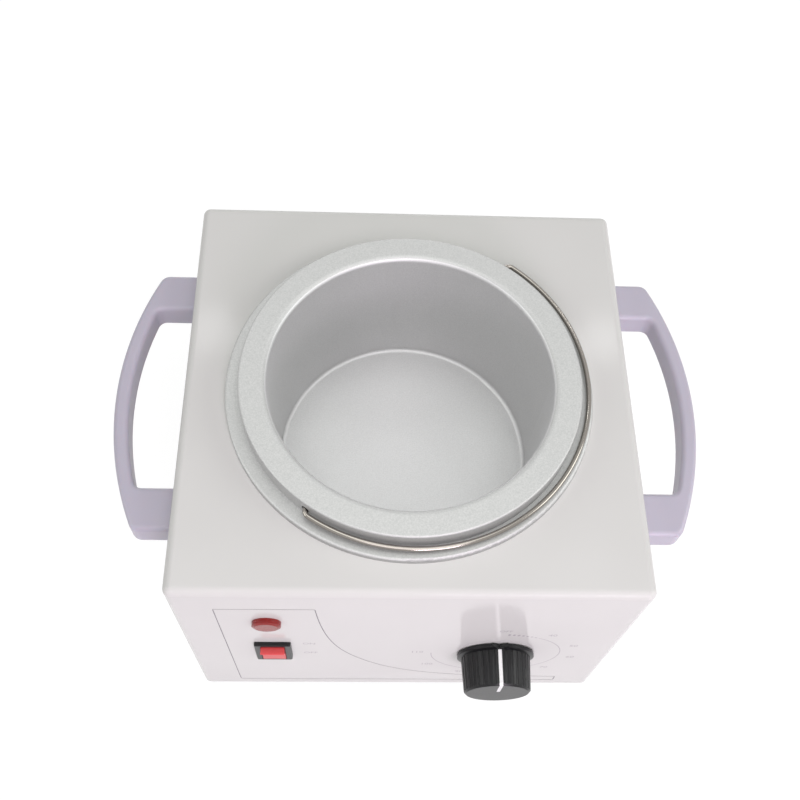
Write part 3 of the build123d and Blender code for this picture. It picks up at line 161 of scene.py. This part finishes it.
def frosted_aluminium():
    """Spun aluminium, blasted and clear anodised: matt with a fine grain, and painted lighter inside the
    pot as painted light.
    """
    material, tree, place = started("frosted_anodised_aluminium")
    # the blasted grain is about 0.15 mm; it is drawn at 0.5 mm so that it shows
    grain = noise(tree, place, 0.5, detail=3.0, roughness=0.7)
    outside = blend(tree, grain, "A8A9A8", "BCBCBB", 0.3, 0.7)
    # painted light: a paler copy of the same grain, used inside the pot
    inside_painted_lighter = blend(tree, grain, "C3C3C3", "D1D1D1", 0.3, 0.7)
    # inside the pot, nearer to its axis than the middle of its wall, the colour is painted lighter: painted
    # light for the light that reaches in
    apart = add(tree, "ShaderNodeSeparateXYZ", {"Vector": place})
    flat = add(tree, "ShaderNodeCombineXYZ", {"X": apart.outputs["X"], "Y": apart.outputs["Y"]})
    reach = add(tree, "ShaderNodeVectorMath", {0: flat.outputs["Vector"], 1: (0.0, POT_Y, 0.0)},
                operation="DISTANCE")
    wall = maths(tree, "MULTIPLY_ADD", apart.outputs["Z"], POT_SLOPE, POT_WALL_R)
    painted_light_mask = maths(tree, "LESS_THAN", reach.outputs["Value"], wall)
    tone = add(tree, "ShaderNodeMix", {0: painted_light_mask, 6: outside, 7: inside_painted_lighter}, data_type="RGBA")
    return finished(material, {
        "Base Color": tone.outputs[2], "Metallic": 1.0, "Roughness": 0.6,
        "Normal": relief(tree, grain, 0.4, 0.05)})


def polished_wire():
    """Hard-drawn stainless wire: bright, with uneven patches of shine from drawing."""
    material, tree, place = started("polished_stainless_wire")
    patches = noise(tree, place, 0.4)
    return finished(material, {
        "Base Color": linear("928D87"), "Metallic": 1.0, "Roughness": spread(tree, patches, 0.06, 0.16)})


def lilac_plastic():
    """Injection-moulded ABS in lilac grey: satin, from a finely spark-eroded mould."""
    material, tree, place = started("lilac_moulded_abs")
    grain = noise(tree, place, 0.6)
    flow = noise(tree, place, 35.0)
    return finished(material, {
        "Base Color": blend(tree, flow, "B4AFBD", "BCB6C5"), "Roughness": 0.36, "IOR": 1.52,
        "Subsurface Weight": 0.08, "Subsurface Scale": 2 * MM, "Normal": relief(tree, grain, 0.2, 0.03)})


def black_plastic():
    """Black phenolic and nylon mouldings: satin, a touch grey where the mould is eroded."""
    material, tree, place = started("black_moulded_plastic")
    grain = noise(tree, place, 0.4)
    return finished(material, {
        "Base Color": linear("101012"), "Roughness": spread(tree, grain, 0.26, 0.38),
        "Specular IOR Level": 0.3, "Normal": relief(tree, grain, 0.2, 0.02)})


def red_rocker():
    """Red polycarbonate rocker: satin, slightly see-through at its edges."""
    material, tree, place = started("red_moulded_polycarbonate")
    grain = noise(tree, place, 0.5)
    return finished(material, {
        "Base Color": linear("D5383B"), "Roughness": 0.34, "IOR": 1.58,
        "Subsurface Weight": 0.15, "Subsurface Scale": 1.5 * MM, "Normal": relief(tree, grain, 0.15, 0.02)})


def red_lens():
    """Clear red acrylic lamp lens with moulded bars that break up what is behind it."""
    material, tree, place = started("clear_red_acrylic")
    # at this scale the bars stand 2.4 mm apart
    bars = add(tree, "ShaderNodeTexWave", {
        "Vector": place, "Scale": per_metre(1.2) / 6.3, "Distortion": 0.5},
        wave_type="BANDS", bands_direction="X")
    return finished(material, {
        "Base Color": linear("AB1915"), "Roughness": 0.12, "IOR": 1.49, "Transmission Weight": 0.45,
        "Normal": relief(tree, bars.outputs["Fac"], 0.3, 0.1)})


def bright_zinc():
    """Steel with bright zinc plating: silvery blue, with soft cloudy patches."""
    material, tree, place = started("bright_zinc_on_steel")
    patches = add(tree, "ShaderNodeTexVoronoi", {
        "Vector": place, "Scale": per_metre(3.5), "Randomness": 1.0})
    cloud = noise(tree, place, 1.5, detail=3.0)
    mixed = maths(tree, "MULTIPLY", patches.outputs["Distance"], cloud)
    return finished(material, {
        "Base Color": blend(tree, mixed, "A9ADB1", "C4C7C9", end=0.5), "Metallic": 1.0,
        "Roughness": spread(tree, cloud, 0.24, 0.42)})


def moulded_rubber():
    """Black moulded rubber: matt, with a dusty bloom."""
    material, tree, place = started("black_moulded_rubber")
    bloom = noise(tree, place, 4.0, detail=4.0)
    return finished(material, {
        "Base Color": blend(tree, bloom, "171717", "2A2928"), "Roughness": 0.8, "IOR": 1.52,
        "Normal": relief(tree, bloom, 0.3, 0.08)})


def machined_brass():
    """Turned and stamped brass: warm yellow with fine tool marks."""
    material, tree, place = started("machined_brass")
    marks = noise(tree, place, 0.5, detail=3.0)
    return finished(material, {
        "Base Color": linear("CDAA66"), "Metallic": 1.0, "Roughness": spread(tree, marks, 0.2, 0.36)})


def mica_band_steel():
    """Heater band: aluminised sheet round the mica, dulled and straw-tinted by heat."""
    material, tree, place = started("heat_tinted_band_steel")
    stretch = add(tree, "ShaderNodeMapping", {"Vector": place, "Scale": (0.15, 0.15, 1.0)})
    rolled = noise(tree, stretch.outputs["Vector"], 0.8, detail=3.0)
    tint = noise(tree, place, 22.0)
    return finished(material, {
        "Base Color": blend(tree, tint, "A9A493", "B3B1AB"), "Metallic": 1.0,
        "Roughness": spread(tree, rolled, 0.38, 0.58)})


def woven_glass():
    """Woven glass-fibre blanket: off-white, plain weave with 2 mm tows, with painted shade in the low
    places of the weave.
    """
    material, tree, place = started("woven_glass_fibre")
    apart = add(tree, "ShaderNodeSeparateXYZ", {"Vector": place})
    turn = maths(tree, "ARCTAN2", apart.outputs["Y"], apart.outputs["X"])
    # the blanket's mean radius is 66 mm, so 207 tows stand round it at 2 mm
    warp = maths(tree, "SINE", maths(tree, "MULTIPLY", turn, 207.0))
    weft = maths(tree, "SINE", maths(tree, "MULTIPLY", apart.outputs["Z"], math.pi * per_metre(1.0)))
    weave = maths(tree, "MULTIPLY", warp, weft)
    height = add(tree, "ShaderNodeMapRange", {"Value": weave, "From Min": -1.0}).outputs["Result"]
    # the colour darkens where the weave sinks: painted shade between the tows
    return finished(material, {
        "Base Color": blend(tree, height, "C9C3AE", "E9E5D8"), "Roughness": 0.85, "Sheen Weight": 0.3,
        "Normal": relief(tree, height, 0.8, 0.4)})


def drawn_copper():
    """Drawn copper tube of the sensor: brownish pink where it has aged."""
    material, tree, place = started("drawn_copper")
    age = noise(tree, place, 5.0, detail=3.0)
    return finished(material, {
        "Base Color": blend(tree, age, "A5694C", "CB8A69"), "Metallic": 1.0, "Roughness": 0.32})


def nickel_shell():
    """Nickel-plated fuse shell: plain silvery metal with light scuffs."""
    material, tree, place = started("nickel_plate")
    scuffs = noise(tree, place, 0.9, detail=4.0)
    return finished(material, {
        "Base Color": linear("BDB9B2"), "Metallic": 1.0, "Roughness": spread(tree, scuffs, 0.18, 0.4)})


def white_inlay():
    """White line filled into the knob: semi-matt paint, slightly soiled in patches."""
    material, tree, place = started("white_filled_line")
    soil = noise(tree, place, 1.5)
    return finished(material, {"Base Color": blend(tree, soil, "DCDCDC", "F2F2F2"), "Roughness": 0.45})


def clear_glass():
    """Blown glass of the neon bulb, a little smoked by its electrodes."""
    material, tree, place = started("neon_bulb_glass")
    smoke = noise(tree, place, 3.0)
    return finished(material, {
        "Base Color": blend(tree, smoke, "D8CFC6", "F3EEE8"), "Roughness": 0.04, "IOR": 1.5,
        "Transmission Weight": 0.85})


def natural_nylon():
    """Natural nylon of the terminal block and sleeves: milky and slightly see-through."""
    material, tree, place = started("natural_nylon")
    grain = noise(tree, place, 0.7)
    return finished(material, {
        "Base Color": linear("E4E2D8"), "Roughness": 0.46, "IOR": 1.53, "Subsurface Weight": 0.3,
        "Subsurface Scale": 2 * MM, "Normal": relief(tree, grain, 0.2, 0.03)})


def lead_insulation(name, code):
    """Plain lead insulation: smooth and semi-matt."""
    material, tree, place = started(name)
    skin = noise(tree, place, 0.8)
    return finished(material, {
        "Base Color": linear(code), "Roughness": 0.42, "Normal": relief(tree, skin, 0.15, 0.03)})


def earth_insulation():
    """Earth lead: PVC that is green on one side and yellow on the other, as a long stripe."""
    material, tree, _ = started("green_and_yellow_pvc")
    facing = add(tree, "ShaderNodeTexCoord").outputs["Normal"]
    apart = add(tree, "ShaderNodeSeparateXYZ", {"Vector": facing})
    side = maths(tree, "GREATER_THAN", apart.outputs["Z"], 0.1)
    tone = add(tree, "ShaderNodeMix", {0: side, 6: linear("D8C928"), 7: linear("2E8B3C")},
               data_type="RGBA")
    return finished(material, {"Base Color": tone.outputs[2], "Roughness": 0.42})


def printing_ink(name, code):
    """Screen-printed ink under the enamel's clear coat: as glossy as the panel and slightly uneven."""
    material, tree, place = started(name)
    cover = spread(tree, noise(tree, place, 0.6), 0.92, 1.08)
    tone = add(tree, "ShaderNodeHueSaturation", {"Color": linear(code), "Value": cover})
    return finished(material, {"Base Color": tone.outputs["Color"], **ENAMEL_GLOSS})


# Camera, light and floor

WHITE = (1.0, 1.0, 1.0, 1.0)

# found from the straight edges and circles in the photograph
CAMERA_PLACE = (-0.0209, -0.1987, 0.4873)
CAMERA_YAW = -4.98
CAMERA_PITCH = 60.76
CAMERA_ROLL = 5.26
FOCAL_PIXELS = 1005.0
PICTURE_PIXELS = 800.0
SENSOR_MM = 36.0

LIT_POINT = (0.0, 0.0, 0.1)
EVEN_LIGHT = 0.22

FLOOR_SIZE = 8.0
FLOOR_GLOW = 1.1
SHADOW_NEAR = 0.3
SHADOW_FAR = 1.2
GLOW_SHARE_NEAR = 0.8


def photograph_camera():
    """The camera stands above the front edge and looks steeply down, turned and tipped a little."""
    yaw = math.radians(CAMERA_YAW)
    pitch = math.radians(CAMERA_PITCH)
    roll = math.radians(CAMERA_ROLL)
    level = Vector((-math.sin(yaw), math.cos(yaw), 0.0))
    right = Vector((math.cos(yaw), math.sin(yaw), 0.0))
    ahead = math.cos(pitch) * level + Vector((0.0, 0.0, -math.sin(pitch)))
    over = math.sin(pitch) * level + Vector((0.0, 0.0, math.cos(pitch)))
    rolled_right = math.cos(roll) * right + math.sin(roll) * over
    rolled_up = -math.sin(roll) * right + math.cos(roll) * over
    turn = Matrix((rolled_right, rolled_up, -ahead)).transposed().to_4x4()
    lens = bpy.data.cameras.new("photograph_camera")
    lens.sensor_width = SENSOR_MM
    lens.lens = SENSOR_MM * FOCAL_PIXELS / PICTURE_PIXELS
    lens.clip_start = 0.01
    lens.clip_end = 50.0
    camera = bpy.data.objects.new("photograph_camera", lens)
    bpy.context.collection.objects.link(camera)
    camera.matrix_world = Matrix.Translation(CAMERA_PLACE) @ turn
    bpy.context.scene.camera = camera


def soft_lamp(name, place, width, height, watts, tint="FFFFFF"):
    """A rectangular soft box at one place, turned to face the object."""
    light = bpy.data.lights.new(name, "AREA")
    light.shape = "RECTANGLE"
    light.size = width
    light.size_y = height
    light.energy = watts
    light.color = linear(tint)[:3]
    lamp = bpy.data.objects.new(name, light)
    bpy.context.collection.objects.link(lamp)
    lamp.location = place
    lamp.rotation_euler = (Vector(LIT_POINT) - Vector(place)).to_track_quat("-Z", "Y").to_euler()


def studio_lamps():
    """Two small lamps make the glints on the top, and six soft boxes light the object from all round."""
    soft_lamp("ceiling_lamp_left", (-0.197, 0.480, 0.837), 0.05, 0.05, 0.11)
    soft_lamp("ceiling_lamp_right", (0.281, 0.476, 0.837), 0.05, 0.05, 0.12)
    soft_lamp("overhead_box", (0.0, 0.0, 1.5), 0.9, 0.9, 4.8, "FCFFFB")
    soft_lamp("near_box", (0.05, -0.42, 0.62), 0.45, 0.3, 1.15, "FFF8FD")
    soft_lamp("front_box", (0.35, -1.3, 0.5), 0.5, 0.3, 7.0, "FFF0FF")
    soft_lamp("left_box", (-1.3, -0.2, 0.8), 0.8, 0.8, 4.6, "FCFFFB")
    soft_lamp("right_box", (1.3, -0.2, 0.8), 0.8, 0.8, 7.8, "FCFFFB")
    soft_lamp("back_box", (0.0, 1.3, 0.45), 0.8, 0.5, 2.5)


def seen_share(tree):
    """1 for a ray from the camera, off a shiny surface or through a clear one, and 0 for soft light."""
    path = add(tree, "ShaderNodeLightPath")
    first = maths(tree, "MAXIMUM", path.outputs["Is Camera Ray"], path.outputs["Is Glossy Ray"])
    return maths(tree, "MAXIMUM", first, path.outputs["Is Transmission Ray"])


def pale_world():
    """White where the camera or a reflection sees it, and a quieter even light on everything else."""
    world = bpy.data.worlds.new("pale_studio")
    bpy.context.scene.world = world
    world.use_nodes = True
    tree = world.node_tree
    tree.nodes.clear()
    strength = spread(tree, seen_share(tree), EVEN_LIGHT, 1.0)
    sky = add(tree, "ShaderNodeBackground", {"Color": WHITE, "Strength": strength})
    add(tree, "ShaderNodeOutputWorld", {"Surface": sky.outputs["Background"]})


def pale_floor():
    """Plain white table top that keeps a soft shadow."""
    bpy.ops.object.select_all(action="DESELECT")
    bpy.ops.mesh.primitive_plane_add(size=FLOOR_SIZE, location=(0.0, 0.0, cad_low.z))
    floor = bpy.context.object
    floor.name = "table_top"
    material, tree, place = started("white_table_top")
    # the shadow stays near the object, and farther out the table runs into the white of the room
    reach = add(tree, "ShaderNodeVectorMath", {0: place}, operation="LENGTH")
    fade = add(tree, "ShaderNodeMapRange", {
        "Value": reach.outputs["Value"], "From Min": SHADOW_NEAR, "From Max": SHADOW_FAR,
        "To Min": GLOW_SHARE_NEAR, "To Max": 1.0}, interpolation_type="SMOOTHSTEP")
    share = maths(tree, "MULTIPLY", seen_share(tree), fade.outputs["Result"])
    matt = add(tree, "ShaderNodeBsdfDiffuse", {"Color": linear("F4F4F4")})
    glow = add(tree, "ShaderNodeEmission", {"Color": WHITE, "Strength": FLOOR_GLOW})
    both = add(tree, "ShaderNodeMixShader", {
        0: share, 1: matt.outputs["BSDF"], 2: glow.outputs["Emission"]})
    # seen from below, the table is clear, so that it doesn't hide the base
    side = add(tree, "ShaderNodeNewGeometry")
    clear = add(tree, "ShaderNodeBsdfTransparent")
    whole = add(tree, "ShaderNodeMixShader", {
        0: side.outputs["Backfacing"], 1: both.outputs["Shader"], 2: clear.outputs["BSDF"]})
    add(tree, "ShaderNodeOutputMaterial", {"Surface": whole.outputs["Shader"]})
    floor.data.materials.append(material)


# Printing on the front panel: millimetres to the right of its middle and down from the top, and degrees
# clockwise from the top of the dial

PRINT_LIFT = 0.03 * MM
PRINT_THINNESS = 0.05
LINE_W = 0.35
CAPITAL_SHARE = 0.7

KNOB_X = 39.6
KNOB_DROP = 76.0
DIAL_R = 27.4
DIAL_END = 270.0
DIAL_STEPS = 96
DASHES = 7
DASH_START = 4.0
DASH_END = 33.0
DASH_WIDE = 2.1
DASH_NARROW = 0.7
DASH_STEPS = 4

NUMERAL_R = 33.6
NUMERAL_H = 2.6
NUMERALS = [(36.8, "40"), (69.5, "50"), (99.5, "60"), (133.0, "70"), (167.0, "80"), (202.0, "90"),
            (237.0, "100"), (272.0, "110")]
DIAL_WORD = ("OFF", KNOB_X + 0.4, KNOB_DROP - 32.2, 2.2)
SWITCH_WORDS = [("ON", -39.2, 63.0, 2.4), ("OFF", -38.9, 76.6, 2.4)]

# the border goes round the lamp and switch, then low under the dial to the right
BORDER = [
    (-72.6, 17.3), (-73.4, 17.3), (-73.4, 18.2), (-73.0, 60.0), (-72.4, 119.0), (-72.4, 122.0),
    (-69.4, 122.0), (0.0, 122.0), (69.4, 122.0), (72.4, 122.0), (72.4, 119.5), (72.4, 117.5),
    (72.4, 115.5), (69.4, 115.5), (52.0, 115.2), (30.0, 113.5), (10.0, 108.5), (-6.0, 99.5),
    (-17.5, 87.0), (-26.0, 72.5), (-31.0, 56.0), (-33.8, 38.0), (-35.0, 24.0), (-35.4, 18.0),
    (-35.5, 17.0), (-36.4, 17.0), (-50.0, 17.1)]


def on_front(x, drop):
    """Point on the front panel: millimetres to the right of the middle and down from the top."""
    return Vector((x * MM, FRONT - PRINT_LIFT, TOP - drop * MM))


def settle(piece, name, material):
    """Name a new piece, put its place into its mesh, give it a finish and let it ride on the housing."""
    bpy.ops.object.select_all(action="DESELECT")
    piece.select_set(True)
    bpy.context.view_layer.objects.active = piece
    bpy.ops.object.transform_apply(location=True, rotation=True, scale=True)
    piece.name = name
    piece.data.name = name
    piece.data.materials.clear()
    piece.data.materials.append(material)
    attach(piece, "warmer")


def joined(pieces):
    """Join several meshes into one."""
    bpy.ops.object.select_all(action="DESELECT")
    for piece in pieces:
        piece.select_set(True)
    bpy.context.view_layer.objects.active = pieces[0]
    bpy.ops.object.join()
    return bpy.context.object


def arc_band(start, end, inner, outer, steps):
    """Flat ring sector round the dial's middle, turned clockwise from the top, spun from a short line."""
    middle = on_front(KNOB_X, KNOB_DROP)
    bpy.ops.object.select_all(action="DESELECT")
    bpy.ops.mesh.primitive_plane_add(size=1.0, location=(0.0, 0.0, 0.0))
    band = bpy.context.object
    bpy.ops.object.mode_set(mode="EDIT")
    bpy.ops.mesh.select_all(action="DESELECT")
    bpy.ops.object.mode_set(mode="OBJECT")
    # two corners go, which leaves one edge as the line to spin
    for vertex in band.data.vertices:
        vertex.select = vertex.co.x > 0
    bpy.ops.object.mode_set(mode="EDIT")
    bpy.ops.mesh.delete(type="VERT")
    bpy.ops.object.mode_set(mode="OBJECT")
    turn = math.radians(start)
    for vertex, reach in zip(band.data.vertices, (inner, outer)):
        vertex.co = middle + Vector((math.sin(turn), 0.0, math.cos(turn))) * reach * MM
    bpy.ops.object.mode_set(mode="EDIT")
    bpy.ops.mesh.select_all(action="SELECT")
    bpy.ops.mesh.spin(
        steps=steps, angle=math.radians(start - end), center=middle, axis=(0.0, 1.0, 0.0),
        use_auto_merge=False)
    bpy.ops.object.mode_set(mode="OBJECT")
    return band


def lettering(words, x, drop, height):
    """Plain upright lettering, centred on its place."""
    bpy.ops.object.select_all(action="DESELECT")
    bpy.ops.object.text_add(location=on_front(x, drop), rotation=(math.radians(90.0), 0.0, 0.0))
    text = bpy.context.object
    text.data.body = words
    text.data.size = height * MM / CAPITAL_SHARE
    text.data.align_x = "CENTER"
    text.data.align_y = "CENTER"
    text.data.resolution_u = 3
    bpy.ops.object.convert(target="MESH")
    bpy.ops.object.transform_apply(location=True, rotation=True, scale=True)
    return bpy.context.object


def ink_line(route, width):
    """Thin closed printed line along a smooth route, flattened onto the panel."""
    bpy.ops.object.select_all(action="DESELECT")
    bpy.ops.curve.primitive_bezier_curve_add(location=(0.0, 0.0, 0.0))
    line = bpy.context.object
    line.data.splines.clear()
    spline = line.data.splines.new("NURBS")
    spline.points.add(len(route) - 1)
    for point, (x, drop) in zip(spline.points, route):
        point.co = (*on_front(x, drop), 1.0)
    spline.order_u = 3
    spline.resolution_u = 6
    spline.use_cyclic_u = True
    line.data.bevel_depth = width / 2 * MM
    line.data.bevel_resolution = 0
    bpy.ops.object.convert(target="MESH")
    bpy.ops.object.mode_set(mode="EDIT")
    bpy.ops.mesh.select_all(action="SELECT")
    bpy.ops.transform.resize(
        value=(1.0, PRINT_THINNESS, 1.0), center_override=(0.0, FRONT - PRINT_LIFT, 0.0))
    bpy.ops.object.mode_set(mode="OBJECT")
    return bpy.context.object


def dial_marks():
    """Dashes that narrow clockwise from the off mark, and the thin arc that goes on from them."""
    span = (DASH_END - DASH_START) / DASHES
    marks = []
    for index in range(DASHES):
        share = index / (DASHES - 1)
        half = (DASH_WIDE + (DASH_NARROW - DASH_WIDE) * share) / 2
        start = DASH_START + span * index
        marks.append(arc_band(start, start + span * 0.5, DIAL_R - half, DIAL_R + half, DASH_STEPS))
    marks.append(arc_band(DASH_END, DIAL_END, DIAL_R - LINE_W / 2, DIAL_R + LINE_W / 2, DIAL_STEPS))
    return joined(marks)


def dial_and_switch_words():
    """The dial's off word and numbers, and on and off beside the switch."""
    words = [lettering(*DIAL_WORD)]
    for angle, number in NUMERALS:
        turn = math.radians(angle)
        x = KNOB_X + NUMERAL_R * math.sin(turn)
        drop = KNOB_DROP - NUMERAL_R * math.cos(turn)
        words.append(lettering(number, x, drop, NUMERAL_H))
    words += [lettering(*word) for word in SWITCH_WORDS]
    return joined(words)


def front_printing():
    """Border, dial marks, numerals and the words on and off, all printed in grey."""
    grey = printing_ink("grey_panel_ink", "8E898F")
    faint = printing_ink("pale_panel_ink", "B5B0B5")
    settle(ink_line(BORDER, LINE_W), "border_print", grey)
    settle(dial_marks(), "dial_print", faint)
    settle(dial_and_switch_words(), "dial_numbers_print", faint)


# Put it together

photograph_camera()
pale_world()
pale_floor()
studio_lamps()

wear(stoved_enamel(), "housing_shell")
wear(frosted_aluminium(), "heating_well", "wax_pot")
wear(polished_wire(), "pot_bail")
wear(lilac_plastic(), "handle_left", "handle_right")
wear(black_plastic(), "control_knob", "thermostat_case", "switch_body", "cord_gland", "gland_nut")
wear(white_inlay(), "knob_pointer")
wear(red_rocker(), "switch_rocker")
wear(red_lens(), "lamp_lens")
wear(bright_zinc(), "base_plate", "base_screws", "foot_screws", "foot_nuts", "handle_screws", "band_bolt",
     "band_nut", "tie_stud", "tie_washer", "tie_nut", "bulb_clip", "fuse_clip", "clip_nuts",
     "thermostat_frame", "thermostat_shaft", "bushing_nut", "lamp_ring", "terminal_screws",
     "block_screws", "earth_screw", "earth_nut")
wear(moulded_rubber(), "rubber_feet")
wear(machined_brass(), "handle_inserts", "thermostat_terminals", "switch_terminals", "earth_lug")
wear(mica_band_steel(), "heater_band")
wear(woven_glass(), "insulation_sleeve")
wear(drawn_copper(), "bulb_and_capillary")
wear(nickel_shell(), "thermal_fuse")
wear(clear_glass(), "neon_bulb")
wear(natural_nylon(), "terminal_block", "spade_sleeves")
wear(lead_insulation("brown_pvc", "4B2B1A"), "leads_live", "lamp_lead")
wear(lead_insulation("blue_pvc", "1F4A94"), "leads_neutral")
wear(earth_insulation(), "lead_earth")

front_printing()

bpy.context.scene.view_settings.view_transform = "Standard"
